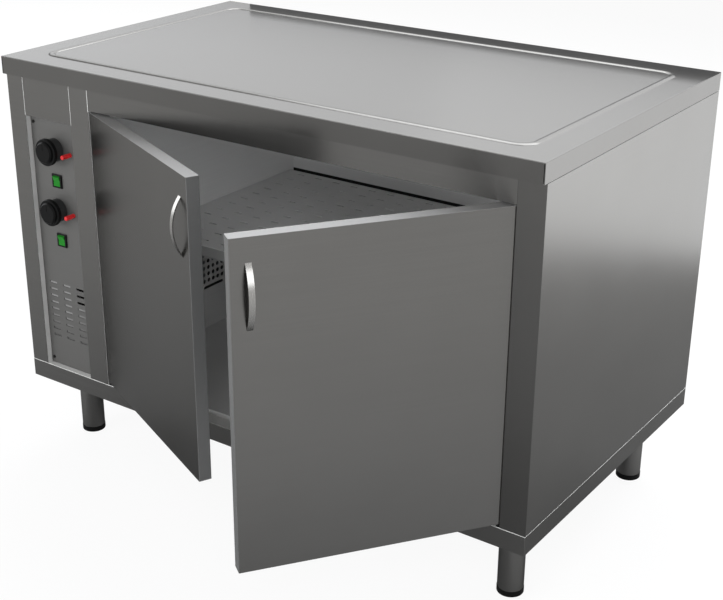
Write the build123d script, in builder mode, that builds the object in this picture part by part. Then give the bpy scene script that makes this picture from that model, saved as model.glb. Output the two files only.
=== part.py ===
from build123d import *
import os
from math import cos, radians, sin

# Heated plate cabinet: a heated worktop over an equipment bay and a chamber with two hinged doors.
# Millimetres, +Z up, +X to the right and +Y to the back as seen from the front.
# The origin is on the floor, in the middle of the outline with both doors ajar.

# ---- driving dimensions ----
width, depth, height = 1200.0, 700.0, 850.0
sheet = 1.5  # casing
thin = 1.0  # chamber lining
skin = 1.2  # doors and shelf
clear = 0.3  # between sheets that only lie beside each other
fit_gap = 0.08  # radial clearance of pins and spindles

apron = 35.0  # folded edge of the worktop
overhang = 10.0  # worktop edge in front of the stiles and the closed doors
bead_inset, bead_width, bead_rise, bead_corner = 61.0, 14.0, 2.0, 30.0

leg_height = 150.0
lip_height = 38.0  # upturned edge of the base
lip_proud = 1.0
stile = 50.0  # right front stile
bay_left, bay_right = 44.0, 172.0  # recess of the control panel, from the left side
chamber_left = 222.0  # door opening, from the left side
partition_inset = 8.0  # partition behind the edge of the door opening
opening_top = 771.5
rail_depth = 40.0
panel_recess = 12.0
filler_bottom = 735.0

door_gap, door_thick = 1.2, 24.5
door_bottom, door_top = 194.5, 769.0
door_corner, liner_inset = 1.4, 1.4
pin_inset, pin_radius, pin_hold = 3.7, 1.7, 25.0
bush_height = 6.0
left_ajar, right_ajar = 24.9, 54.45  # degrees

handle_length, handle_rise, handle_width, handle_thick = 109.0, 18.0, 10.0, 2.0
handle_inset, handle_middle = 29.5, 674.0  # from the door's free edge, and above the floor
handle_foot = 3.2  # height of each end where it stands on the door

lining_front, chamber_back = 37.0, 659.0  # from the worktop's front edge
chamber_floor, chamber_ceiling = 198.0, 792.0
shelf_front, shelf_back, shelf_top, shelf_lip = 145.0, 645.0, 490.0, 22.0
slot_columns, slot_rows = 18, 12
slot_pitch_x, slot_pitch_y, slot_length, slot_width = 50.0, 41.1, 20.0, 5.0
vent_columns, vent_rows, vent_pitch_y, vent_pitch_z, vent_radius = 5, 8, 15.0, 15.3, 4.8
vent_middle, vent_bottom = 361.0, 309.8  # middle from the worktop's front edge, lowest row
air_slot_height, air_slot_length, air_slot_z = 6.6, 64.0, 294.2

control_x = 108.3  # middle of the switches and slots, from the left side
knob_spots = {"upper": (108.3, 672.0), "lower": (105.3, 545.0)}  # from the left side, and above the floor
lamp_spots = {"upper": (150.0, 667.5), "lower": (146.6, 540.2)}
switch_heights = {"upper": 606.5, "lower": 479.5}
skirt_radius, grip_radius, knob_reach = 23.6, 21.8, 33.5
collar_radius, collar_back, collar_front = 27.5, 20.0, 27.5  # ring on the knob, and its faces from the panel
spindle_radius = 3.0
lamp_radius, lamp_reach = 4.7, 23.0
bezel_width, bezel_height, bezel_proud = 26.0, 28.0, 3.5
snap_width, snap_height, snap_play = 24.4, 26.4, 0.1  # switch body and its play in the panel's cutout
snap_depth, pivot_radius, pivot_length = 26.0, 1.3, 23.6
rocker_width, rocker_radius, rocker_tilt = 17.4, 11.4, 8.0
screw_head, screw_rise, screw_shank = 3.2, 1.6, 1.6
louvre_columns, louvre_rows, louvre_pitch_x, louvre_pitch_z = 3, 9, 39.0, 15.0
louvre_length, louvre_height, louvre_middle = 21.0, 5.0, 317.5
back_slot_pitch_x, back_slot_pitch_z, back_slot_length, back_slot_middle = 60.0, 20.0, 40.0, 660.0
screen_margin, screen_top_step = 10.0, 48.0  # dust screen behind the slots, and the step in its top corner

leg_radius, leg_inset = 24.5, 70.5
leg_front, leg_back = 103.0, 607.5  # from the worktop's front edge
foot_height, foot_pin, foot_hold = 12.0, 6.0, 48.0

heater_radius, heater_runs, heater_pitch = 4.2, 8, 66.0

# ---- places worked out from them ----
left, right = -width / 2, width / 2
door_width = (width - stile - chamber_left - 3 * door_gap) / 2
door_far = door_width - pin_inset
swing = radians(right_ajar)
door_reach = (
    door_far * sin(swing)
    + pin_inset * cos(swing)
    - overhang
    - pin_inset
    - door_corner * (sin(swing) + cos(swing) - 1)
)  # how far the right door stands out past the worktop
front = (door_reach - depth) / 2  # the worktop's front edge
back = front + depth
face = front + overhang
middle = (front + back) / 2
panel_face = face + panel_recess
panel_back = panel_face + sheet
lining = front + lining_front
rear = front + chamber_back

ledge = leg_height + lip_height
apron_bottom, under_top = height - apron, height - sheet
casing_bottom, casing_top = ledge + clear, apron_bottom - 1.0
lining_bottom, lining_top = chamber_floor - thin, chamber_ceiling + thin
bay_start, bay_end = left + bay_left, left + bay_right
opening_start, opening_end = left + chamber_left, right - stile
opening_middle = (opening_start + opening_end) / 2
partition_face = opening_start - partition_inset
hinge_spots = (opening_start + door_gap + pin_inset, opening_end - door_gap - pin_inset)
pin_y = face + pin_inset
leg_spots = {
    "front_left": (left + leg_inset, front + leg_front),
    "front_right": (right - leg_inset, front + leg_front),
    "back_left": (left + leg_inset, front + leg_back),
    "back_right": (right - leg_inset, front + leg_back),
}

os.makedirs("parts", exist_ok=True)


def save(made, name):
    made.part.label = name
    export_step(made.part, f"parts/{name}.step")


def block(x, y, z, mode=Mode.ADD):
    """Box over the spans x, y and z."""
    with Locations(((x[0] + x[1]) / 2, (y[0] + y[1]) / 2, (z[0] + z[1]) / 2)):
        Box(x[1] - x[0], y[1] - y[0], z[1] - z[0], mode=mode)


def rod(centre, radius, length, axis=(0, 0, 1), mode=Mode.ADD):
    """Cylinder from centre along axis."""
    with Locations(Plane(origin=centre, z_dir=axis)):
        Cylinder(radius, length, align=(Align.CENTER, Align.CENTER, Align.MIN), mode=mode)


def folded(outline, start, length):
    """Folded sheet whose outer faces follow outline on the plane start, with its metal on the left."""
    with BuildPart() as bent:
        with BuildSketch(start):
            with BuildLine():
                Polyline(*outline)
                offset(amount=sheet, side=Side.LEFT, kind=Kind.INTERSECTION)
            make_face()
        extrude(amount=length)
    return bent


def slab(x, y, z):
    """Plain rectangular piece over the spans x, y and z."""
    with BuildPart() as piece:
        block(x, y, z)
    return piece


# ================ outer casing ================

# Worktop: a tray turned over, with an open seam at each corner and a low bead around its top.
with BuildPart() as worktop:
    block((left, right), (front, back), (apron_bottom, height))
    fillet(worktop.edges().group_by(Axis.Z)[-1], radius=1.2)
    block(
        (left + sheet, right - sheet),
        (front + sheet, back - sheet),
        (apron_bottom, under_top),
        Mode.SUBTRACT,
    )
    seam = 1.2
    with GridLocations(width - 2 * sheet - seam, 0, 2, 1):
        block((-seam / 2, seam / 2), (front, front + sheet), (apron_bottom, under_top - 1), Mode.SUBTRACT)
        block((-seam / 2, seam / 2), (back - sheet, back), (apron_bottom, under_top - 1), Mode.SUBTRACT)
    bead_x, bead_y = width / 2 - bead_inset, depth / 2 - bead_inset
    with BuildLine(Plane.XY.offset(height)) as bead_line:
        bead_corners = [
            (-bead_x, middle - bead_y),
            (bead_x, middle - bead_y),
            (bead_x, middle + bead_y),
            (-bead_x, middle + bead_y),
        ]
        FilletPolyline(*bead_corners, radius=bead_corner, close=True)
    bead_start = Plane(origin=(0, middle - bead_y, height), x_dir=(0, 1, 0), z_dir=(1, 0, 0))
    with BuildSketch(bead_start):
        with BuildLine():
            ThreePointArc((-bead_width / 2, 0), (0, bead_rise), (bead_width / 2, 0))
            Polyline((bead_width / 2, 0), (bead_width / 2, -0.5), (-bead_width / 2, -0.5), (-bead_width / 2, 0))
        make_face()
    sweep(path=bead_line.wire())
save(worktop, "worktop")

# Rails that carry the worktop on the side panels.
with BuildPart() as worktop_rails:
    for way in (-1, 1):
        outer = way * (right - sheet)
        inner = way * (right - 32)
        x = sorted((outer, inner))
        y = (front + 12, back - 12)
        block(x, y, (casing_top, under_top))
        x_hollow = sorted((way * (right - sheet - sheet), way * (right - 40)))
        block(x_hollow, y, (casing_top + sheet, under_top - sheet), Mode.SUBTRACT)
save(worktop_rails, "worktop_rails")

# Side panels, each folded round into a front stile and a back flange.
casing_height = casing_top - casing_bottom
casing_plane = Plane.XY.offset(casing_bottom)
flange, back_flange = 14.0, 22.0
save(
    folded(
        [
            (left + back_flange, back - sheet),
            (left, back - sheet),
            (left, face),
            (bay_start, face),
            (bay_start, panel_back),
            (bay_start + flange, panel_back),
        ],
        casing_plane,
        casing_height,
    ),
    "left_side_panel",
)
save(
    folded(
        [
            (opening_end, lining),
            (opening_end, face),
            (right, face),
            (right, back - sheet),
            (right - back_flange, back - sheet),
        ],
        casing_plane,
        casing_height,
    ),
    "right_side_panel",
)
save(
    folded(
        [
            (bay_end - flange, panel_back),
            (bay_end, panel_back),
            (bay_end, face),
            (opening_start, face),
            (opening_start, lining),
            (partition_face - thin, lining),
        ],
        casing_plane,
        casing_height,
    ),
    "divider_stile",
)

# Back panel, with cooling slots behind the equipment bay.
with BuildPart() as back_panel:
    block((left + clear, right - clear), (back - sheet, back), (casing_bottom, casing_top))
    for spot in GridLocations(back_slot_pitch_x, back_slot_pitch_z, 2, 6):
        x = left + control_x + spot.position.X
        z = back_slot_middle + spot.position.Y
        block(
            (x - back_slot_length / 2, x + back_slot_length / 2),
            (back - sheet, back),
            (z - louvre_height / 2, z + louvre_height / 2),
            Mode.SUBTRACT,
        )
save(back_panel, "back_panel")

# Base: a tray with its edge folded in as a ledge and up again behind the casing.
lip_front = face - lip_proud
with BuildPart() as base_tray:
    block((left, right), (lip_front, back), (leg_height, ledge))
    fillet(base_tray.edges().filter_by(Axis.Z), radius=1.0)
    fillet(base_tray.edges().group_by(Axis.Z)[-1], radius=0.8)
    block(
        (left + sheet, right - sheet),
        (lip_front + sheet, back - sheet),
        (leg_height + sheet, ledge - sheet),
        Mode.SUBTRACT,
    )
    block((left + 12, right - 12), (lining + sheet, back - 12), (ledge - sheet, ledge), Mode.SUBTRACT)
    for x in ((left + sheet, left + 2 * sheet), (right - 2 * sheet, right - sheet)):
        block(x, (lining + 4, back - 24), (ledge, lining_bottom))
    block((opening_start + 2, opening_end - 2), (lining, lining + sheet), (ledge, lining_bottom))
    block((left + 24, right - 24), (back - 2 * sheet, back - sheet), (ledge, lining_bottom))
    for x in hinge_spots:
        rod((x, pin_y, ledge - sheet), pin_radius + fit_gap, sheet, mode=Mode.SUBTRACT)
    gland_x, gland_y, gland_radius = left + 150, back - 60, 9.0
    rod((gland_x, gland_y, leg_height), gland_radius, sheet, mode=Mode.SUBTRACT)
save(base_tray, "base_tray")

# Top rail over the doors, and the plate that fills the same height over the control panel.
rail = folded(
    [
        (face + 30, casing_top),
        (face, casing_top),
        (face, opening_top),
        (face + rail_depth, opening_top),
        (face + rail_depth, chamber_ceiling),
    ],
    Plane.YZ.offset(opening_start + clear),
    opening_end - opening_start - 2 * clear,
)
with BuildPart() as top_rail:
    add(rail.part)
    for x in hinge_spots:
        rod((x, pin_y, opening_top), pin_radius + fit_gap, sheet, mode=Mode.SUBTRACT)
save(top_rail, "top_rail")
save(
    folded(
        [
            (panel_face, casing_top),
            (face + 0.5, casing_top),
            (face + 0.5, filler_bottom),
            (panel_face, filler_bottom),
        ],
        Plane.YZ.offset(bay_start + clear),
        bay_end - bay_start - 2 * clear,
    ),
    "filler_plate",
)

# Control panel, with louvre slots below the controls.
panel_bottom, panel_top = ledge + clear, filler_bottom - clear
screw_spots = [
    (x, z)
    for x in (bay_start + 8, bay_end - 7.4)
    for z in (panel_bottom + 12.7, panel_top - 13.7)
]
with BuildPart() as control_panel:
    block((bay_start + clear, bay_end - clear), (panel_face, panel_back), (panel_bottom, panel_top))
    for spot in GridLocations(louvre_pitch_x, louvre_pitch_z, louvre_columns, louvre_rows):
        x = left + control_x + spot.position.X
        z = louvre_middle + spot.position.Y
        block(
            (x - louvre_length / 2, x + louvre_length / 2),
            (panel_face, panel_back),
            (z - louvre_height / 2, z + louvre_height / 2),
            Mode.SUBTRACT,
        )
    for x, z in knob_spots.values():
        rod((left + x, panel_face, z), spindle_radius + 1, sheet, (0, 1, 0), Mode.SUBTRACT)
    for x, z in lamp_spots.values():
        rod((left + x, panel_face, z), lamp_radius - 0.7, sheet, (0, 1, 0), Mode.SUBTRACT)
    for z in switch_heights.values():
        block(
            (left + control_x - snap_width / 2 - snap_play, left + control_x + snap_width / 2 + snap_play),
            (panel_face, panel_back),
            (z - snap_height / 2 - snap_play, z + snap_height / 2 + snap_play),
            Mode.SUBTRACT,
        )
    for x, z in screw_spots:
        rod((x, panel_face, z), screw_shank + 0.1, sheet, (0, 1, 0), Mode.SUBTRACT)
save(control_panel, "control_panel")

# Dust screen on the back of the control panel, over all slots but the top three of the right column.
screen_x = (bay_start + flange + clear, bay_end - flange - clear)
screen_z = (louvre_middle - 4 * louvre_pitch_z - screen_margin, louvre_middle + 4 * louvre_pitch_z + screen_margin)
with BuildPart() as dust_screen:
    block(screen_x, (panel_back, panel_back + thin), screen_z)
    block(
        (left + control_x + louvre_pitch_x / 2, screen_x[1]),
        (panel_back, panel_back + thin),
        (screen_z[1] - screen_top_step, screen_z[1]),
        Mode.SUBTRACT,
    )
save(dust_screen, "dust_screen")

with BuildPart() as panel_screws:
    for x, z in screw_spots:
        with Locations(Plane(origin=(x, panel_face, z), z_dir=(0, -1, 0))):
            Cylinder(screw_head, screw_rise, align=(Align.CENTER, Align.CENTER, Align.MIN))
        rod((x, panel_face, z), screw_shank, sheet, (0, 1, 0))
        recess_y = (panel_face - screw_rise, panel_face - screw_rise + 0.6)
        block((x - 2.4, x + 2.4), recess_y, (z - 0.4, z + 0.4), Mode.SUBTRACT)
        block((x - 0.4, x + 0.4), recess_y, (z - 2.4, z + 2.4), Mode.SUBTRACT)
save(panel_screws, "panel_screws")

# ================ chamber lining ================

# Partition towards the equipment bay, with its warm-air holes and the slot under them.
lining_z = (lining_bottom, lining_top)
vent_y = front + vent_middle
with BuildPart() as partition:
    block((partition_face - thin, partition_face), (lining + clear, rear), lining_z)
    for spot in GridLocations(vent_pitch_y, vent_pitch_z, vent_columns, vent_rows):
        y = vent_y + spot.position.X
        z = vent_bottom + (vent_rows - 1) * vent_pitch_z / 2 + spot.position.Y
        rod((partition_face - thin, y, z), vent_radius, thin, (1, 0, 0), Mode.SUBTRACT)
    block(
        (partition_face - thin, partition_face),
        (vent_y - air_slot_length / 2, vent_y + air_slot_length / 2),
        (air_slot_z - air_slot_height / 2, air_slot_z + air_slot_height / 2),
        Mode.SUBTRACT,
    )
save(partition, "partition")

chamber_x = (partition_face, opening_end)
save(slab((opening_end, opening_end + thin), (lining + clear, rear), lining_z), "inner_right_wall")
save(slab((partition_face - thin, opening_end + thin), (rear, rear + thin), lining_z), "inner_back_wall")
save(slab(chamber_x, (lining + clear, rear), (lining_bottom, chamber_floor)), "inner_floor")
save(slab(chamber_x, (face + rail_depth, rear), (chamber_ceiling, lining_top)), "inner_ceiling")

# Shelf: a slotted sheet with its front and back edges folded down, lying on two angles.
shelf_x = (partition_face + 1.5, opening_end - 1.5)
shelf_y = (front + shelf_front, front + shelf_back)
with BuildPart() as shelf:
    block(shelf_x, shelf_y, (shelf_top - skin, shelf_top))
    block(shelf_x, (shelf_y[0], shelf_y[0] + skin), (shelf_top - shelf_lip, shelf_top - skin))
    block(shelf_x, (shelf_y[1] - skin, shelf_y[1]), (shelf_top - shelf_lip, shelf_top - skin))
    fillet(shelf.edges().group_by(Axis.Z)[-1].filter_by(Axis.X), radius=1.1)
    with BuildSketch(Plane.XY.offset(shelf_top)):
        with Locations((opening_middle, front + (shelf_front + shelf_back) / 2 + 4.8)):
            with GridLocations(slot_pitch_x, slot_pitch_y, slot_columns, slot_rows):
                RectangleRounded(slot_length, slot_width, 1.2)
    extrude(amount=-skin, mode=Mode.SUBTRACT)
save(shelf, "shelf")

with BuildPart() as shelf_supports:
    support_y = (shelf_y[0] + 6, shelf_y[1] - 6)
    support_top = shelf_top - skin
    for wall, way in ((partition_face, 1), (opening_end, -1)):
        block(sorted((wall, wall + way * 18)), support_y, (support_top - sheet, support_top))
        block(sorted((wall, wall + way * sheet)), support_y, (support_top - 18, support_top - sheet))
save(shelf_supports, "shelf_supports")

# ================ insulation and heaters ================
tray_floor = leg_height + sheet
wool_back = back - 2 * sheet - clear
save(
    slab((opening_start + 2, opening_end - 2), (lining + 3, rear), (tray_floor, lining_bottom)),
    "floor_insulation",
)
save(
    slab((opening_end + thin, right - 2 * sheet - clear), (lining + 6, back - 26), (ledge + 4, casing_top - 3)),
    "side_insulation",
)
save(
    slab((opening_start + 4, opening_end - 2), (rear + thin, wool_back), (ledge + 4, casing_top - 3)),
    "back_insulation",
)
save(
    slab((opening_start + 4, opening_end - 4), (face + 45, rear - 4), (lining_top, under_top - 17)),
    "top_insulation",
)

# Worktop heater: one tube bent back and forth under the worktop, held up by straps.
tube_z = under_top - heater_radius - 0.1
run_start, run_end = left + 120, right - 120
first_run = middle - heater_pitch * (heater_runs - 1) / 2
tube_points = []
for run in range(heater_runs):
    ends = (run_start, run_end) if run % 2 == 0 else (run_end, run_start)
    tube_points += [(x, first_run + run * heater_pitch, tube_z) for x in ends]
with BuildPart() as worktop_heater:
    with BuildLine() as tube_line:
        FilletPolyline(*tube_points, radius=heater_pitch / 2 - 1)
    with BuildSketch(Plane(origin=tube_points[0], z_dir=(1, 0, 0))):
        Circle(heater_radius)
    sweep(path=tube_line.wire())
save(worktop_heater, "worktop_heater")

strap_drop = 2 * heater_radius + 0.3
with BuildPart() as heater_straps:
    strap_y = (first_run - 30, first_run + heater_pitch * (heater_runs - 1) + 30)
    for x in (-300, 0, 300):
        block((x - 9, x + 9), strap_y, (under_top - strap_drop - sheet, under_top))
        block(
            (x - 9, x + 9),
            (strap_y[0] + 12, strap_y[1] - 12),
            (under_top - strap_drop, under_top),
            Mode.SUBTRACT,
        )
save(heater_straps, "heater_straps")

# Chamber heater: a hairpin tube on a plate behind the warm-air holes, under a folded cover.
cover_depth = 60.0
with BuildPart() as heater_cover:
    cover_x = (partition_face - thin - cover_depth, partition_face - thin)
    cover_y = (vent_y - 60, vent_y + 60)
    cover_z = (air_slot_z - 30, vent_bottom + vent_rows * vent_pitch_z + 10)
    block(cover_x, cover_y, cover_z)
    block(
        (cover_x[0] + thin, cover_x[1]),
        (cover_y[0] + thin, cover_y[1] - thin),
        (cover_z[0] + thin, cover_z[1] - thin),
        Mode.SUBTRACT,
    )
    for y in (vent_y - 20, vent_y + 20):
        rod((cover_x[0], y, cover_z[1] - 30), 4.6, thin, (1, 0, 0), Mode.SUBTRACT)
save(heater_cover, "heater_cover")

with BuildPart() as chamber_heater:
    hairpin_x = partition_face - thin - cover_depth / 2
    hairpin_z = (cover_z[0] + 20, cover_z[1] - 30)
    with BuildLine() as hairpin:
        FilletPolyline(
            (cover_x[0] - 12, vent_y - 20, hairpin_z[1]),
            (hairpin_x, vent_y - 20, hairpin_z[1]),
            (hairpin_x, vent_y - 20, hairpin_z[0]),
            (hairpin_x, vent_y + 20, hairpin_z[0]),
            (hairpin_x, vent_y + 20, hairpin_z[1]),
            (cover_x[0] - 12, vent_y + 20, hairpin_z[1]),
            radius=15,
        )
    with BuildSketch(Plane(origin=(cover_x[0] - 12, vent_y - 20, hairpin_z[1]), z_dir=(1, 0, 0))):
        Circle(heater_radius)
    sweep(path=hairpin.wire())
save(chamber_heater, "chamber_heater")

# ================ electrical pieces of the bay ================
for name, (x, z) in knob_spots.items():
    x += left
    with BuildPart() as thermostat:
        block((x - 20, x + 20), (panel_back, panel_back + 3), (z - 14, z + 14))
        block((x - 17, x + 17), (panel_back + 3, panel_back + 36), (z - 18, z + 18))
        for side in (-1, 1):
            block((x + side * 8 - 3, x + side * 8 + 3), (panel_back + 36, panel_back + 44), (z - 0.4, z + 0.4))
        rod((x, panel_back, z), spindle_radius + fit_gap, 20, (0, 1, 0), Mode.SUBTRACT)
    save(thermostat, f"{name}_thermostat")

for name, (x, z) in lamp_spots.items():
    x += left
    with BuildPart() as lamp:
        tip = panel_face - lamp_reach
        rod((x, tip, z), lamp_radius, lamp_reach, (0, 1, 0))
        fillet(lamp.edges().group_by(Axis.Y)[0], radius=2.5)
        rod((x, panel_face, z), lamp_radius - 0.8, sheet + 18, (0, 1, 0))
        rod((x, panel_back, z), lamp_radius + 1.5, 3, (0, 1, 0))
    save(lamp, f"{name}_lamp")

for name, z in switch_heights.items():
    x = left + control_x
    cavity_x, cavity_z = rocker_width / 2 + clear, rocker_radius + 0.4
    pivot_y = panel_face + 0.5
    with BuildPart() as housing:
        block(
            (x - bezel_width / 2, x + bezel_width / 2),
            (panel_face - bezel_proud, panel_face),
            (z - bezel_height / 2, z + bezel_height / 2),
        )
        fillet(housing.edges().group_by(Axis.Y)[0], radius=1)
        block(
            (x - snap_width / 2, x + snap_width / 2),
            (panel_face, panel_face + snap_depth),
            (z - snap_height / 2, z + snap_height / 2),
        )
        block(
            (x - cavity_x, x + cavity_x),
            (panel_face - bezel_proud, panel_face + 15),
            (z - cavity_z, z + cavity_z),
            Mode.SUBTRACT,
        )
        rod((x - snap_width / 2, pivot_y, z), pivot_radius + fit_gap, snap_width, (1, 0, 0), Mode.SUBTRACT)
        for terminal in (-8, 0, 8):
            block(
                (x - 3.2, x + 3.2),
                (panel_face + snap_depth, panel_face + snap_depth + 9),
                (z + terminal - 0.4, z + terminal + 0.4),
            )
    save(housing, f"{name}_switch_housing")

    # Rocker: a shallow V on a rounded body, tilted about its pivot.
    tilt = radians(rocker_tilt)
    tilted = Plane(origin=(x - rocker_width / 2, pivot_y, z), x_dir=(0, cos(tilt), sin(tilt)), z_dir=(1, 0, 0))
    with BuildPart() as rocker:
        with BuildSketch(tilted):
            with BuildLine():
                Polyline(
                    (-5.4, 9.9), (-3.4, 0), (-5.4, -9.9), (0, -11.3), (5, -9.9), (5, 9.9), (0, 11.3), close=True
                )
            make_face()
        extrude(amount=rocker_width)
        rod((x - pivot_length / 2, pivot_y, z), pivot_radius, pivot_length, (1, 0, 0))
    save(rocker, f"{name}_rocker")

with BuildPart() as terminal_block:
    block((left + 60, left + 130), (back - 160, back - 132), (tray_floor, tray_floor + 24))
    for spot in GridLocations(14, 0, 5, 1):
        rod((left + 95 + spot.position.X, back - 146, tray_floor + 14), 4, 10, mode=Mode.SUBTRACT)
save(terminal_block, "terminal_block")

# Cable gland through the base, under the back of the bay.
with BuildPart() as cable_gland:
    rod((gland_x, gland_y, leg_height - 12), gland_radius + 3.5, 12)
    chamfer(cable_gland.edges().group_by(Axis.Z)[0], length=2)
    rod((gland_x, gland_y, leg_height), gland_radius - 0.1, sheet)
    rod((gland_x, gland_y, tray_floor), gland_radius + 3.5, 7)
    rod((gland_x, gland_y, leg_height - 12), 5.5, 12 + sheet + 7, mode=Mode.SUBTRACT)
save(cable_gland, "cable_gland")

# ================ hinges and catches on the cabinet ================
with BuildPart() as hinge_bushes:
    for x in hinge_spots:
        for y, z in (
            ((lip_front + sheet, pin_y + 11), (ledge - sheet - bush_height, ledge - sheet)),
            ((face + sheet, pin_y + 11), (opening_top + sheet, opening_top + sheet + bush_height)),
        ):
            block((x - pin_inset - 0.8, x + pin_inset + 0.8), y, z)
            rod((x, pin_y, z[0]), pin_radius + fit_gap, bush_height, mode=Mode.SUBTRACT)
save(hinge_bushes, "hinge_bushes")

with BuildPart() as hinge_washers:
    for x in hinge_spots:
        rod((x, pin_y, ledge), pin_inset, door_bottom - ledge - clear)
        rod((x, pin_y, ledge), pin_radius + fit_gap, door_bottom - ledge - clear, mode=Mode.SUBTRACT)
save(hinge_washers, "hinge_washers")

catch_front, catch_drop = face + door_thick + 0.8, 8.0
with BuildPart() as magnetic_catches:
    for x in (opening_middle - 40, opening_middle + 40):
        block((x - 18, x + 18), (catch_front + 2, face + rail_depth), (opening_top - catch_drop, opening_top))
        block((x - 14, x + 14), (catch_front, catch_front + 2), (opening_top - catch_drop + 1, opening_top - 1))
save(magnetic_catches, "magnetic_catches")

# ================ doors ================
# Each door is drawn on a plane at its hinge pin, with +x along the closed door's +X.


def make_door(name, way, plane):
    """A door that runs way (+1 or -1) along x from its pin."""
    x = sorted((-way * pin_inset, way * door_far))
    y = (-pin_inset, door_thick - pin_inset)
    z = (door_bottom, door_top)
    with BuildPart(plane) as door_skin:
        block(x, y, z)
        front_edges = door_skin.edges().filter_by(Axis.Z)
        fillet(front_edges, radius=door_corner)
        block((x[0] + skin, x[1] - skin), (y[0] + skin, y[1]), (z[0] + skin, z[1] - skin), Mode.SUBTRACT)
        rod((0, 0, z[0]), pin_radius + 0.02, z[1] - z[0], mode=Mode.SUBTRACT)
    save(door_skin, f"{name}_door_skin")

    with BuildPart(plane) as liner:
        block((x[0] + skin, x[1] - skin), (y[1] - liner_inset - thin, y[1] - liner_inset), (z[0] + skin, z[1] - skin))
    save(liner, f"{name}_door_liner")

    with BuildPart(plane) as insulation:
        block(
            (x[0] + skin, x[1] - skin),
            (y[0] + skin, y[1] - liner_inset - thin),
            (z[0] + skin, z[1] - skin),
        )
        rod((0, 0, z[0]), pin_radius + 0.05, z[1] - z[0], mode=Mode.SUBTRACT)
    save(insulation, f"{name}_door_insulation")

    with BuildPart(plane) as pins:
        pin_start, pin_end = ledge - sheet - bush_height, opening_top + sheet + bush_height
        rod((0, 0, pin_start), pin_radius, door_bottom + pin_hold - pin_start)
        rod((0, 0, door_top - pin_hold), pin_radius, pin_end - door_top + pin_hold)
    save(pins, f"{name}_door_pins")

    # Handle: a bowed strip whose ends stand on the door's face.
    handle_x = way * (door_far - handle_inset)
    ends = (handle_middle - handle_length / 2, handle_middle + handle_length / 2)
    section = Plane(
        origin=plane.from_local_coords(Vector(handle_x - handle_width / 2, -pin_inset, 0)),
        x_dir=plane.y_dir,
        z_dir=plane.x_dir,
    )
    with BuildPart() as handle:
        with BuildSketch(section):
            with BuildLine():
                ThreePointArc((0, ends[0]), (-handle_rise, handle_middle), (0, ends[1]))
                Line((0, ends[1]), (0, ends[1] - handle_foot))
                ThreePointArc(
                    (0, ends[1] - handle_foot), (handle_thick - handle_rise, handle_middle), (0, ends[0] + handle_foot)
                )
                Line((0, ends[0] + handle_foot), (0, ends[0]))
            make_face()
        extrude(amount=handle_width)
    save(handle, f"{name}_door_handle")


left_turn, right_turn = radians(left_ajar), radians(right_ajar)
left_plane = Plane(
    origin=(hinge_spots[0], pin_y, 0), x_dir=(cos(left_turn), -sin(left_turn), 0), z_dir=(0, 0, 1)
)
right_plane = Plane(
    origin=(hinge_spots[1], pin_y, 0), x_dir=(cos(right_turn), sin(right_turn), 0), z_dir=(0, 0, 1)
)
make_door("left", 1, left_plane)
make_door("right", -1, right_plane)

# ================ knobs ================
for name, (x, z) in knob_spots.items():
    x += left
    skirt_y = panel_face - 0.5
    with BuildPart() as knob:
        with BuildSketch(Plane.XY.offset(z)):
            with BuildLine():
                tip_y = panel_face - knob_reach
                points = [
                    (0, tip_y),
                    (grip_radius - 3, tip_y),
                    (grip_radius, tip_y + 3),
                    (grip_radius, panel_face - collar_front),
                    (collar_radius - 1, panel_face - collar_front),
                    (collar_radius, panel_face - collar_front + 1),
                    (collar_radius, panel_face - collar_back),
                    (skirt_radius, panel_face - collar_back),
                    (skirt_radius, skirt_y),
                    (spindle_radius, skirt_y),
                    (spindle_radius, panel_back + 19),
                    (0, panel_back + 19),
                ]
                Polyline(*[(x + r, y) for r, y in points], close=True)
            make_face()
        revolve(axis=Axis((x, 0, z), (0, 1, 0)))
        block(
            (x - 0.8, x + 0.8),
            (panel_face - knob_reach, panel_face - knob_reach + 0.6),
            (z + 5, z + grip_radius),
            Mode.SUBTRACT,
        )
    save(knob, f"{name}_knob")

# ================ legs and levelling feet ================
plug = 15.0
for name, (x, y) in leg_spots.items():
    with BuildPart() as leg:
        rod((x, y, foot_height), leg_radius, leg_height - foot_height)
        rod((x, y, foot_height + plug), leg_radius - sheet, leg_height - foot_height - plug - 3, mode=Mode.SUBTRACT)
        rod((x, y, foot_height), foot_pin + fit_gap, plug, mode=Mode.SUBTRACT)
    save(leg, f"{name}_leg")
    with BuildPart() as foot:
        rod((x, y, 0), leg_radius + 0.5, foot_height - clear)
        fillet(foot.edges().group_by(Axis.Z)[0], radius=2)
        rod((x, y, foot_height - clear), foot_pin, foot_hold)
    save(foot, f"{name}_foot")
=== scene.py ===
from math import cos, pi, radians, sin

import bpy
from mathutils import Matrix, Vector

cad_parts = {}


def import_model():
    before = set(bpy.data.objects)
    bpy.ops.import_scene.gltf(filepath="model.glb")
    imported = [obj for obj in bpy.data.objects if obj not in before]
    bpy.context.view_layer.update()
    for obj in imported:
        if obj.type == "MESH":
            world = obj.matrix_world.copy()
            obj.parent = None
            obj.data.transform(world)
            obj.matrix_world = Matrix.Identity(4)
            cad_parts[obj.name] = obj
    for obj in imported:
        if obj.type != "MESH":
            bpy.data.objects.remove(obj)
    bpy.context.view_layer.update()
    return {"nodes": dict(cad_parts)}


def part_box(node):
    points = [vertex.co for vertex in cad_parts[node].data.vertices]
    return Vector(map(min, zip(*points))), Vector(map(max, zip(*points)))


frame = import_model()
nodes = frame["nodes"]
millimetre = 0.001


def box(name):
    # a node's lowest and highest corners
    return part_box(name)


# materials

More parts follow.
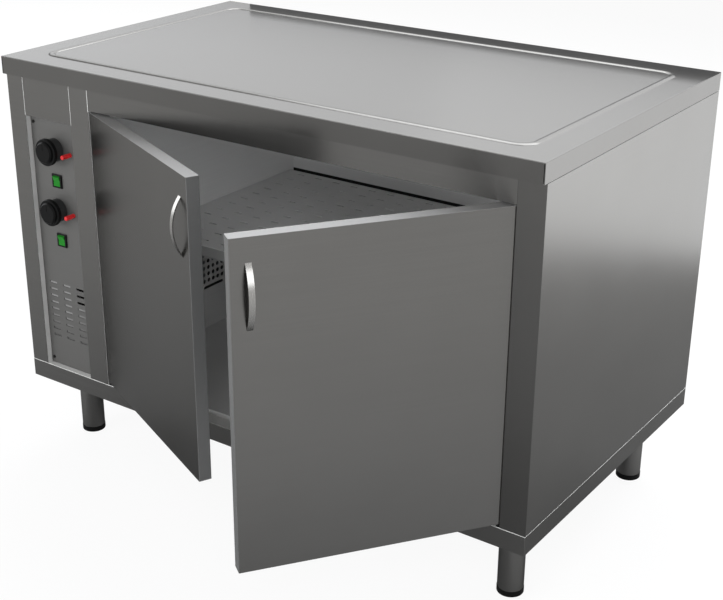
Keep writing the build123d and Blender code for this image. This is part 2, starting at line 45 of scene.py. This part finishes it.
class Link:
    # one value in a tree of shader nodes; arithmetic on it adds Math nodes
    def __init__(self, tree, socket):
        self.tree = tree
        self.socket = socket

    def math(self, operation, other, swapped=False):
        first, second = (other, self) if swapped else (self, other)
        return self.tree.node("ShaderNodeMath", {"operation": operation}, {0: first, 1: second})

    def __add__(self, other):
        return self.math("ADD", other)

    def __sub__(self, other):
        return self.math("SUBTRACT", other)

    def __rsub__(self, other):
        return self.math("SUBTRACT", other, swapped=True)

    def __mul__(self, other):
        return self.math("MULTIPLY", other)


class ShaderTree:
    # a tree of shader nodes, and one way to add any node to it
    def __init__(self, nodeTree):
        self.nodeTree = nodeTree

    def node(self, kind, settings=None, sockets=None, output=0):
        made = self.nodeTree.nodes.new(kind)
        for name, value in (settings or {}).items():
            setattr(made, name, value)
        for key, value in (sockets or {}).items():
            self.feed(made.inputs[key], value)
        return None if output is None else Link(self, made.outputs[output])

    def feed(self, socket, value):
        if isinstance(value, Link):
            self.nodeTree.links.new(value.socket, socket)
        else:
            socket.default_value = value


class Finish(ShaderTree):
    # a material and its Principled shader
    def __init__(self, name, **constants):
        self.material = bpy.data.materials.new(name)
        self.material.use_nodes = True
        super().__init__(self.material.node_tree)
        self.shader = self.nodeTree.nodes["Principled BSDF"]
        self.set(**constants)

    def set(self, **sockets):
        for name, value in sockets.items():
            self.feed(self.shader.inputs[name.replace("_", " ")], value)

    def where(self):
        # the piece's own coordinates
        return self.node("ShaderNodeTexCoord", output="Object")

    def place(self, scale=(1, 1, 1)):
        # those coordinates, stretched by scale
        return self.node("ShaderNodeMapping", {}, {"Vector": self.where(), "Scale": scale})

    def measure(self, operation, other):
        # one number worked out from those coordinates and another vector
        sockets = {0: self.where(), 1: other}
        return self.node("ShaderNodeVectorMath", {"operation": operation}, sockets, output="Value")

    def along(self, way):
        # how far a point of the piece lies in the direction way
        return self.measure("DOT_PRODUCT", way)

    def awayFrom(self, spot):
        # how far a point of the piece lies from a spot
        return self.measure("DISTANCE", spot)

    def past(self, way, start, soften):
        # 1 where a point lies past start in the direction way, reached over the length soften
        if soften:
            return self.spread(self.along(way), start, start + soften)
        return self.along(way).math("GREATER_THAN", start)

    def within(self, groups, soften=0.0):
        # 1 where a point lies past every (direction, start) of at least one group
        found = 0.0
        for group in groups:
            inGroup = 1.0
            for way, start in group:
                inGroup = self.past(way, start, soften) * inGroup
            found = inGroup.math("MAXIMUM", found)
        return found

    def noise(self, where, scale, detail=2.0, rough=0.5):
        sockets = {"Vector": where, "Scale": scale, "Detail": detail, "Roughness": rough}
        return self.node("ShaderNodeTexNoise", {}, sockets)

    def spread(self, value, low, high, toLow=0.0, toHigh=1.0):
        # a smooth step, from toLow at low to toHigh at high
        sockets = {"Value": value, "From Min": low, "From Max": high, "To Min": toLow, "To Max": toHigh}
        return self.node("ShaderNodeMapRange", {"interpolation_type": "SMOOTHSTEP"}, sockets)

    def mix(self, factor, first, second):
        # sockets 6 and 7 are the two colours, and output 2 their mixture
        return self.node("ShaderNodeMix", {"data_type": "RGBA"}, {0: factor, 6: first, 7: second}, output=2)

    def bump(self, height, strength, distance):
        sockets = {"Height": height, "Strength": strength, "Distance": distance}
        return self.node("ShaderNodeBump", {}, sockets)


def colour(red, green, blue):
    return (red, green, blue, 1.0)


def shade(base, factor):
    return colour(*(channel * factor for channel in base[:3]))


def twoTones(base, swing):
    # a colour a little darker, and a little lighter
    return shade(base, 1 - swing), shade(base, 1 + swing)


# A direction and where it starts, for the groups that Finish.within takes.
def above(z):
    return (0, 0, 1), z


def below(z):
    return (0, 0, -1), -z


def rightOf(x):
    return (1, 0, 0), x


def leftOf(x):
    return (-1, 0, 0), -x


def behind(y):
    return (0, 1, 0), y


def before(y):
    return (0, -1, 0), -y


# Stainless steel: fine grain along the sheet, faint clouding and small changes of gloss.
steelSettings = {
    "base": colour(0.134, 0.1315, 0.1265),
    "roughness": 0.25,
    "edgeTint": colour(0.5, 0.5, 0.5),  # keeps the sheet from turning white at low angles
    "grainLength": 3.0,
    "grainWidth": 420.0,
    "hairs": (1.0, 3.0, 0.6),  # noise of the grain: scale, detail, roughness
    "clouds": (5.0, 2.0, 0.5),
    "toneShare": 0.5,  # how much the grain counts in the tone, and the clouds the rest
    "toneRange": (0.35, 0.65),
    "toneSwing": 0.025,
    "glossShare": 0.6,
    "glossRange": (0.3, 0.7),
    "glossSwing": (0.94, 1.07),  # times the roughness
    "scratches": (0.015, 0.2 * millimetre),  # strength and depth
    "bend": 1.1 * millimetre,  # width of the painted highlight along a bent edge
    "skin": 0.6 * millimetre,  # depth at which the inner faces start
    # inner faces and bent edges, duller and paler than the polished sheet; the paler colour is painted light,
    # also on the tray's ledge
    "inside": {"colour": colour(0.62, 0.615, 0.6), "metal": 0.3, "rougher": 0.15},
}
base = steelSettings["base"]
inside = steelSettings["inside"]
skin = steelSettings["skin"]


def steel(name, base, grain, roughness=steelSettings["roughness"], metallic=1.0, faces=()):
    # faces: (groups, look) for faces given another colour than the rest of the sheet, to paint light or shade
    # on them
    settings = steelSettings
    finish = Finish(name, Specular_Tint=settings["edgeTint"])
    fine, long = settings["grainWidth"], settings["grainLength"]
    scales = {"level": (long, long, fine), "lengthwise": (long, fine, long), "upright": (fine, fine, long)}
    hairs = finish.noise(finish.place(scales[grain]), *settings["hairs"])
    clouds = finish.noise(finish.place(), *settings["clouds"])

    def blend(share):
        return hairs * share + clouds * (1 - share)

    tone = finish.spread(blend(settings["toneShare"]), *settings["toneRange"])

    def clouded(paint):
        return finish.mix(tone, *twoTones(paint, settings["toneSwing"]))

    paint = clouded(base)
    metal = metallic
    smooth, dull = (roughness * swing for swing in settings["glossSwing"])
    gloss = finish.spread(blend(settings["glossShare"]), *settings["glossRange"], smooth, dull)
    for groups, look in faces:
        here = finish.within(groups, look.get("soften", 0.0))
        if "fade" in look:
            here = here * finish.spread(finish.along((1, 0, 0)), *look["fade"])
        paint = finish.mix(here, paint, clouded(look["colour"]))
        metal = here * (look["metal"] - metal) + metal
        gloss = here * look.get("rougher", 0.0) + gloss
    normal = finish.bump(hairs, *settings["scratches"])
    finish.set(Base_Color=paint, Metallic=metal, Roughness=gloss, Normal=normal)
    return finish.material


def behindFront(name, sides=()):
    # faces of a casing node that lie behind its front plane, and inside the sides named
    low, high = box(name)
    limits = {
        "left": rightOf(low.x + skin),
        "right": leftOf(high.x - skin),
        "back": before(high.y - skin),
    }
    return [[behind(low.y + skin)] + [limits[side] for side in sides]]


def frontFace(name):
    # the part of a node within a sheet's skin of its front plane
    return [[before(box(name)[0].y + skin)]]


def bendHighlights(name, rightEdges=(), leftEdges=()):
    # narrow bright strips where a front face is bent back at a vertical edge, from a height up: painted
    # highlight along the bend
    width = steelSettings["bend"]
    front = before(box(name)[0].y + skin)
    strips = [[rightOf(x - width), front, above(z)] for x, z in rightEdges]
    strips += [[leftOf(x + width), front, above(z)] for x, z in leftEdges]
    return strips


# The chamber's lining is brushed dull, with painted shade below the shelf.
liningSettings = {
    "colour": colour(0.72, 0.716, 0.708),
    "metal": 0.15,
    "roughness": 0.4,
    # painted shade: the lining darker below the shelf
    "low": {"colour": colour(0.6, 0.596, 0.588), "metal": 0.15, "soften": 0.12},
    "lowStart": 20 * millimetre,  # below the shelf's top
}
shelfSettings = {
    "tone": 0.97,  # times the lining's
    # the shelf's lip and underside, darker than its top: painted shade
    "lip": {"colour": colour(0.38, 0.378, 0.37), "metal": 0.2},
    "gapShadowTone": 0.02,  # painted shadow on the back wall, in the gap behind the shelf
    "gapAbove": 1.5 * millimetre,
    "gapBelow": 16 * millimetre,
}


def chamberSteel(name, grain="level", tone=1.0, faces=()):
    settings = liningSettings
    paint = shade(settings["colour"], tone)
    return steel(name, paint, grain, settings["roughness"], settings["metal"], faces)


def liningShadeBelowShelf():
    return [[below(box("shelf")[1].z - liningSettings["lowStart"])]], liningSettings["low"]


def shelfGapShadow():
    settings = shelfSettings
    top = box("shelf")[1].z
    look = {"colour": shade(liningSettings["colour"], settings["gapShadowTone"]), "metal": 0.0}
    return [[above(top - settings["gapBelow"]), below(top + settings["gapAbove"])]], look


def shelfLipShade():
    return [[below(box("shelf")[1].z - skin)]], shelfSettings["lip"]


doorSettings = {
    "ajar": {"left": 24.9, "right": 54.45},  # degrees from shut
    "tone": {"left": 1.12, "right": 1.18},  # times the steel's; lighter than the casing, the right door most: painted light
    "roughness": 0.24,
    # a door's top and free edge: duller, paler copies of the steel, painted highlight
    "top": {"colour": colour(0.165, 0.163, 0.16), "metal": 0.3, "rougher": 0.15},
    "side": {"colour": colour(0.13, 0.13, 0.128), "metal": 0.4, "rougher": 0.1},
    "liner": {"base": colour(0.4, 0.397, 0.39), "roughness": 0.35, "metallic": 0.5},
}


def doorEdgeHighlights(side):
    # the folded top edge of a door, and its upright edge away from the hinge, with painted highlight
    door = f"{side}_door_skin"
    turn = radians(doorSettings["ajar"][side])
    way = (cos(turn), -sin(turn), 0) if side == "left" else (-cos(turn), -sin(turn), 0)
    far = max(corner.co.dot(Vector(way)) for corner in nodes[door].data.vertices)
    return [
        ([[(way, far - skin)]], doorSettings["side"]),
        ([[above(box(door)[1].z - skin)]], doorSettings["top"]),
    ]


def doorSteel(side):
    settings = doorSettings
    paint = shade(base, settings["tone"][side])
    return steel(f"{side}DoorSteel", paint, "level", settings["roughness"], faces=doorEdgeHighlights(side))


casingSettings = {
    "apronShadeTone": 0.74,  # painted shade on the worktop's front edge, times the steel's
    "apronShadeFade": (-0.6, 0.1, 0.35, 1.0),  # from x to x, and how much of that painted shade shows there
    # the right side panel lighter than the casing: painted light
    "rightPanelLightTone": 1.12,
    # the right side panel's front face darker: painted shade
    "rightFrontShadeTone": 0.77,
    # the top rail darker: painted shade
    "railShadeTone": 0.92,
    "trayLedge": 188 * millimetre,  # height of the tray's ledge
}


def casingSteels():
    # painted light: inner faces, bends and the tray's ledge (inside) and the right panel; painted shade: the
    # apron, the right panel's front and the rail
    settings = casingSettings
    filler = box("filler_plate")
    stileEdge = box("divider_stile")[1].x
    doorTop = box("left_door_skin")[1].z
    apronShadeLook = {"colour": shade(base, settings["apronShadeTone"]), "metal": 1.0, "fade": settings["apronShadeFade"]}
    leftBendHighlight = bendHighlights("left_side_panel", rightEdges=[(filler[0].x, filler[0].z)])
    rightFrontShade = {"colour": shade(base, settings["rightFrontShadeTone"]), "metal": 1.0}
    stileBendHighlights = bendHighlights(
        "divider_stile", rightEdges=[(stileEdge, doorTop)], leftEdges=[(filler[1].x, filler[0].z)]
    )
    return {
        "worktop": steel(
            "worktopSteel", base, "lengthwise", roughness=0.22, faces=[(frontFace("worktop"), apronShadeLook)]
        ),
        "casing": steel("casingSteel", base, "level"),
        "leftPanel": steel(
            "leftPanelSteel", base, "level",
            faces=[(behindFront("left_side_panel", ("left", "back")), inside), (leftBendHighlight, inside)],
        ),
        "rightPanel": steel(
            "rightPanelSteel", shade(base, settings["rightPanelLightTone"]), "level",
            faces=[
                (behindFront("right_side_panel", ("right", "back")), inside),
                (frontFace("right_side_panel"), rightFrontShade),
            ],
        ),
        "stile": steel(
            "stileSteel", base, "level",
            faces=[(behindFront("divider_stile"), inside), (stileBendHighlights, inside)],
        ),
        "rail": steel(
            "railSteel", shade(base, settings["railShadeTone"]), "level", faces=[(behindFront("top_rail"), inside)]
        ),
        "tray": steel("traySteel", base, "level", faces=[([[above(settings["trayLedge"] - skin)]], inside)]),
    }


plasticSettings = {
    "grit": (900.0, 2.0, 0.6),  # noise: scale, detail, roughness
    "gritRange": (0.3, 0.7),
    "swing": 0.15,  # of tone and gloss
    "bump": (0.08, 0.2 * millimetre),  # strength and depth
}


def plastic(name, base, roughness, specular=0.5):
    settings = plasticSettings
    less, more = 1 - settings["swing"], 1 + settings["swing"]
    finish = Finish(name, Specular_IOR_Level=specular)
    grit = finish.noise(finish.place(), *settings["grit"])
    finish.set(
        Base_Color=finish.mix(grit, *twoTones(base, settings["swing"])),
        Roughness=finish.spread(grit, *settings["gritRange"], roughness * less, roughness * more),
        Normal=finish.bump(grit, *settings["bump"]),
    )
    return finish.material


knobSettings = {
    "black": colour(0.0045, 0.0045, 0.0045),
    "swing": 0.3,
    "gloss": (0.33, 0.42),
    "specular": 0.06,
    "grit": (700.0, 2.0, 0.6),
    "skirt": colour(0.035, 0.035, 0.035),  # the plain part against the panel
    "skirtLength": 19.9 * millimetre,
    "skirtMetal": 0.3,
}


def knobPlastic(name):
    settings = knobSettings
    finish = Finish(name, Specular_IOR_Level=settings["specular"])
    grit = finish.noise(finish.place(), *settings["grit"])
    skirt = finish.within([[behind(box("control_panel")[0].y - settings["skirtLength"])]])
    black = finish.mix(grit, *twoTones(settings["black"], settings["swing"]))
    finish.set(
        Base_Color=finish.mix(skirt, black, settings["skirt"]),
        Metallic=skirt * settings["skirtMetal"],
        Roughness=finish.spread(grit, *plasticSettings["gritRange"], *settings["gloss"]),
        Normal=finish.bump(grit, *plasticSettings["bump"]),
    )
    return finish.material


screenSettings = {
    "pale": colour(0.2, 0.197, 0.192),
    "dark": colour(0.07, 0.068, 0.066),
    "middle": (0.45, 0.8),  # of its width and height, where the painted light is brightest
    "reach": (0.03, 0.115),
    "dirtScale": 60.0,
    "dirtSwing": 0.3,
    "weave": 900.0,
    "bump": (0.1, 0.2 * millimetre),
}


def screenSheet(name):
    # thin sheet behind the slots, with painted light in its upper middle fading to painted shade towards its
    # edges, and random patches
    settings = screenSettings
    low, high = box("dust_screen")
    right, up = settings["middle"]
    palest = (low.x + (high.x - low.x) * right, low.y, low.z + (high.z - low.z) * up)
    finish = Finish(name, Metallic=0.1, Roughness=0.6, Specular_IOR_Level=0.2)
    patches = finish.noise(finish.place(), settings["dirtScale"]) - 0.5  # noise lies about a half
    shadeAndDirt = finish.spread(finish.awayFrom(palest), *settings["reach"]) + patches * settings["dirtSwing"]
    finish.set(
        Base_Color=finish.mix(shadeAndDirt, settings["pale"], settings["dark"]),
        Normal=finish.bump(finish.noise(finish.place(), settings["weave"]), *settings["bump"]),
    )
    return finish.material


woolSettings = {
    "dark": colour(0.5, 0.42, 0.2),
    "pale": colour(0.8, 0.72, 0.45),
    "stretch": (60, 60, 400),
    "fibres": (1.0, 6.0, 0.7),
    "bump": (0.6, 2 * millimetre),
}


def wool(name):
    settings = woolSettings
    finish = Finish(name, Roughness=0.95, Specular_IOR_Level=0.1)
    fibres = finish.noise(finish.place(settings["stretch"]), *settings["fibres"])
    paint = finish.mix(fibres, settings["dark"], settings["pale"])
    finish.set(Base_Color=paint, Normal=finish.bump(fibres, *settings["bump"]))
    return finish.material


finishes = {
    **casingSteels(),
    "leftDoor": doorSteel("left"),
    "rightDoor": doorSteel("right"),
    "panel": steel("panelSteel", colour(0.094, 0.092, 0.088), "level", roughness=0.42, metallic=0.35),
    "lining": chamberSteel("liningSteel", faces=[liningShadeBelowShelf()]),
    "screen": screenSheet("screenSheet"),
    "doorLiner": steel("doorLinerSteel", grain="level", **doorSettings["liner"]),
    "backWall": chamberSteel("backWallSteel", faces=[liningShadeBelowShelf(), shelfGapShadow()]),
    "shelf": chamberSteel("shelfSteel", "lengthwise", shelfSettings["tone"], faces=[shelfLipShade()]),
    "tube": steel("tubeSteel", shade(base, 1.2), "upright", roughness=0.16),
    "handle": steel("handleSteel", shade(base, 2.3), "upright", roughness=0.27),
    "fixings": steel("fixingSteel", shade(base, 1.4), "level", roughness=0.25),
    "screws": steel("screwSteel", shade(base, 0.22), "level", roughness=0.4),
    "zinc": steel("zincSheet", colour(0.32, 0.33, 0.34), "level", roughness=0.4),
    "element": steel("elementTube", colour(0.09, 0.085, 0.08), "level", roughness=0.45),
    "black": plastic("blackPlastic", colour(0.005, 0.005, 0.005), roughness=0.38, specular=0.08),
    "knob": knobPlastic("knobPlastic"),
    "foot": plastic("footPlastic", colour(0.004, 0.004, 0.004), roughness=0.5, specular=0.1),
    "white": plastic("terminalPlastic", colour(0.6, 0.58, 0.52), roughness=0.5),
    "red": plastic("redLens", colour(0.5, 0.018, 0.02), roughness=0.3, specular=0.25),
    "green": plastic("greenRocker", colour(0.011, 0.155, 0.013), roughness=0.4, specular=0.07),
    "wool": wool("mineralWool"),
}
corners = ("front_left", "front_right", "back_left", "back_right")
nodeFinishes = {
    "worktop": ["worktop"],
    "casing": ["back_panel", "filler_plate"],
    "leftPanel": ["left_side_panel"],
    "rightPanel": ["right_side_panel"],
    "stile": ["divider_stile"],
    "rail": ["top_rail"],
    "tray": ["base_tray"],
    "leftDoor": ["left_door_skin"],
    "rightDoor": ["right_door_skin"],
    "screen": ["dust_screen"],
    "backWall": ["inner_back_wall"],
    "panel": ["control_panel"],
    "lining": ["partition", "inner_right_wall", "inner_floor", "inner_ceiling", "shelf_supports"],
    "doorLiner": ["left_door_liner", "right_door_liner"],
    "shelf": ["shelf"],
    "tube": [f"{corner}_leg" for corner in corners],
    "handle": ["left_door_handle", "right_door_handle"],
    "fixings": ["left_door_pins", "right_door_pins"],
    "screws": ["panel_screws"],
    "zinc": ["worktop_rails", "heater_straps", "heater_cover", "hinge_bushes"],
    "element": ["worktop_heater", "chamber_heater"],
    "black": [
        "upper_switch_housing", "lower_switch_housing", "upper_thermostat", "lower_thermostat",
        "cable_gland", "hinge_washers", "magnetic_catches",
    ],
    "knob": ["upper_knob", "lower_knob"],
    "foot": [f"{corner}_foot" for corner in corners],
    "white": ["terminal_block"],
    "red": ["upper_lamp", "lower_lamp"],
    "green": ["upper_rocker", "lower_rocker"],
    "wool": [
        "floor_insulation", "side_insulation", "back_insulation", "top_insulation",
        "left_door_insulation", "right_door_insulation",
    ],
}
for finishName, names in nodeFinishes.items():
    for name in names:
        data = nodes[name].data
        data.materials.clear()
        data.materials.append(finishes[finishName])
unpainted = sorted(set(nodes) - {name for names in nodeFinishes.values() for name in names})
print("materials set; nodes with none:", unpainted)


# camera

cameraSettings = {
    "place": (2.0817, -1.7556, 1.4584),  # from the worktop's front left corner, and above the floor
    "turn": 35.791,  # degrees
    "dip": 23.054,
    "focalPixels": 1356.1,
    "centre": (337.3, 296.9),  # where the lens's axis meets the image, in pixels
    "image": (723, 600),
    "sensor": 36.0,  # millimetres
    "reach": 100,  # farthest distance drawn, in metres
}


def placeCamera():
    settings = cameraSettings
    wide, high = settings["image"]
    data = bpy.data.cameras.new("camera")
    data.sensor_width = settings["sensor"]
    data.lens = settings["focalPixels"] * settings["sensor"] / wide
    data.shift_x = (wide / 2 - settings["centre"][0]) / wide
    data.shift_y = (settings["centre"][1] - high / 2) / wide
    data.clip_end = settings["reach"]
    camera = bpy.data.objects.new("camera", data)
    corner = box("worktop")[0]
    camera.location = (corner.x + settings["place"][0], corner.y + settings["place"][1], settings["place"][2])
    camera.rotation_euler = (radians(90 - settings["dip"]), 0, radians(settings["turn"]))
    bpy.context.scene.collection.objects.link(camera)
    bpy.context.scene.camera = camera


placeCamera()
print("camera placed")


# light, floor and background

white = colour(1, 1, 1)
worldSettings = {"soft": 0.42}  # world light on diffuse surfaces


def seenDirectly(tree, byCamera=1.0, inMetal=1.0):
    # byCamera for what the camera sees itself, inMetal for what metal and glass show it
    camera, glossy, through = (
        tree.node("ShaderNodeLightPath", output=name)
        for name in ("Is Camera Ray", "Is Glossy Ray", "Is Transmission Ray")
    )
    return camera * byCamera + (glossy + through).math("MINIMUM", 1.0) * inMetal


def makeWorld():
    world = bpy.data.worlds.new("studio")
    world.use_nodes = True
    bpy.context.scene.world = world
    sky = ShaderTree(world.node_tree)
    sky.nodeTree.nodes.clear()
    soft = sky.node("ShaderNodeBackground", {}, {"Color": white, "Strength": worldSettings["soft"]})
    bright = sky.node("ShaderNodeBackground", {}, {"Color": white, "Strength": 1.0})
    both = sky.node("ShaderNodeMixShader", {}, {0: seenDirectly(sky), 1: soft, 2: bright})
    sky.node("ShaderNodeOutputWorld", {}, {"Surface": both}, output=None)


def plane(name, size=1.0):
    bpy.ops.object.select_all(action="DESELECT")
    bpy.ops.mesh.primitive_plane_add(size=size, location=(0, 0, 0))
    made = bpy.context.active_object
    made.name = name
    return made


floorSettings = {
    "size": 60.0,
    "colour": colour(0.8, 0.8, 0.8),
    "inMetal": colour(0.44, 0.44, 0.44),  # the near floor that metal reflects, darker: painted shade
    "glow": 0.92,  # share of plain white in the floor that the camera sees
    "fade": (0.5, 2.6),  # distances over which the floor in metal turns white
    "paintedDarkPatch": {"centre": (-0.45, -1.5, 0), "edge": (0.35, 1.0), "strength": 0.85},  # in metal only: painted shade on the floor, a dark reflection for the apron and rail
}


def makeFloor():
    settings = floorSettings
    patch = settings["paintedDarkPatch"]
    floor = plane("floor", settings["size"])
    finish = Finish("floorPaint", Roughness=0.9, Specular_IOR_Level=0.0)
    glossy = finish.node("ShaderNodeLightPath", output="Is Glossy Ray")
    finish.set(Base_Color=finish.mix(glossy, settings["colour"], settings["inMetal"]))
    paint = Link(finish, finish.shader.outputs[0])
    glow = finish.node("ShaderNodeEmission", {}, {"Color": white, "Strength": 1.0})
    # painted shade in the floor that metal shows: darker near the cabinet and on the dark patch
    onPatch = finish.spread(finish.awayFrom(patch["centre"]), *patch["edge"], patch["strength"], 0.0)
    far = finish.spread(finish.awayFrom((0, 0, 0)), *settings["fade"]) * (1 - onPatch)
    share = seenDirectly(finish, settings["glow"], far)
    mixed = finish.node("ShaderNodeMixShader", {}, {0: share, 1: paint, 2: glow})
    output = next(node for node in finish.nodeTree.nodes if node.type == "OUTPUT_MATERIAL")
    finish.feed(output.inputs["Surface"], mixed)
    floor.data.materials.append(finish.material)


flagSettings = {
    "behind": 0.012,
    "heights": (-0.005, 0.032),  # from the worktop's top
    "span": (-0.55, 0.62),
    "tone": colour(0.5, 0.5, 0.5),
}


def standFlag():
    # low grey board close behind the worktop: the back of the worktop reflects it
    settings = flagSettings
    high = box("worktop")[1]
    flag = plane("backFlag")
    spots = [
        (x, high.y + settings["behind"], high.z + z)
        for z in settings["heights"] for x in settings["span"]
    ]
    for vertex, spot in zip(flag.data.vertices, spots):
        vertex.co = spot
    finish = Finish("flagCloth", Base_Color=settings["tone"], Roughness=1.0, Specular_IOR_Level=0.0)
    flag.data.materials.append(finish.material)
    flag.visible_camera = False
    flag.visible_diffuse = False
    flag.visible_shadow = False


lampTint = (0.98, 1.0, 1.03)
lampSettings = {
    "overheadLeft": {"centre": (-3.6, 2.9, 2.72), "size": (3.6, 2.6), "radiance": 3.05, "tilt": 55},
    "overheadRight": {"centre": (0.2, 2.9, 2.72), "size": (4.0, 2.6), "radiance": 3.5, "tilt": 55},
    "keyPanel": {"centre": (-0.3, 1.9, 4.2), "size": (5.0, 2.0), "radiance": 4.8, "tilt": 38},
    "sidePanel": {"centre": (1.3, 1.6, 0.5), "size": (1.6, 1.0), "radiance": 3.05, "tilt": 90, "turn": 23.2},
    "fill": {"centre": (-1.8, -3.4, 1.6), "size": (3.6, 1.8), "radiance": 4.6, "aim": (0.0, 0.2, 0.5)},
    "front": {
        "centre": (1.6, -2.15, 1.6), "size": (1.3, 1.3), "radiance": 7.5, "aim": (0.0, 0.1, 0.5),
        "glossy": False,
    },
    "rightCard": {
        "centre": (3.9, -1.5, 2.2), "size": (2.0, 2.0), "radiance": 3.6, "aim": (0.3, -0.3, 0.6),
        "diffuse": False,
    },
    "leftCard": {
        "centre": (-4.2, -0.95, 1.8), "size": (2.0, 2.8), "radiance": 3.6, "aim": (-0.1, -0.3, 0.6),
        "diffuse": False,
    },
}


def hangLamp(name, centre, size, radiance, tilt=0, turn=0, aim=None, diffuse=True, glossy=True):
    # tilt and turn in degrees, or aim, a point; a card is only seen in metal and gloss
    data = bpy.data.lights.new(name, "AREA")
    data.shape = "RECTANGLE"
    data.size, data.size_y = size
    data.energy = radiance * pi * size[0] * size[1]
    data.color = lampTint
    lamp = bpy.data.objects.new(name, data)
    lamp.location = centre
    lamp.rotation_euler = (radians(-tilt), 0, radians(-turn))
    if aim:
        lamp.rotation_euler = (Vector(aim) - Vector(centre)).to_track_quat("-Z", "Y").to_euler()
    lamp.visible_camera = False
    lamp.visible_diffuse = diffuse
    lamp.visible_glossy = glossy
    bpy.context.scene.collection.objects.link(lamp)


makeWorld()
makeFloor()
for name, settings in lampSettings.items():
    hangLamp(name, **settings)
standFlag()
view = bpy.context.scene.view_settings
view.view_transform = "Standard"
print("light and floor made")
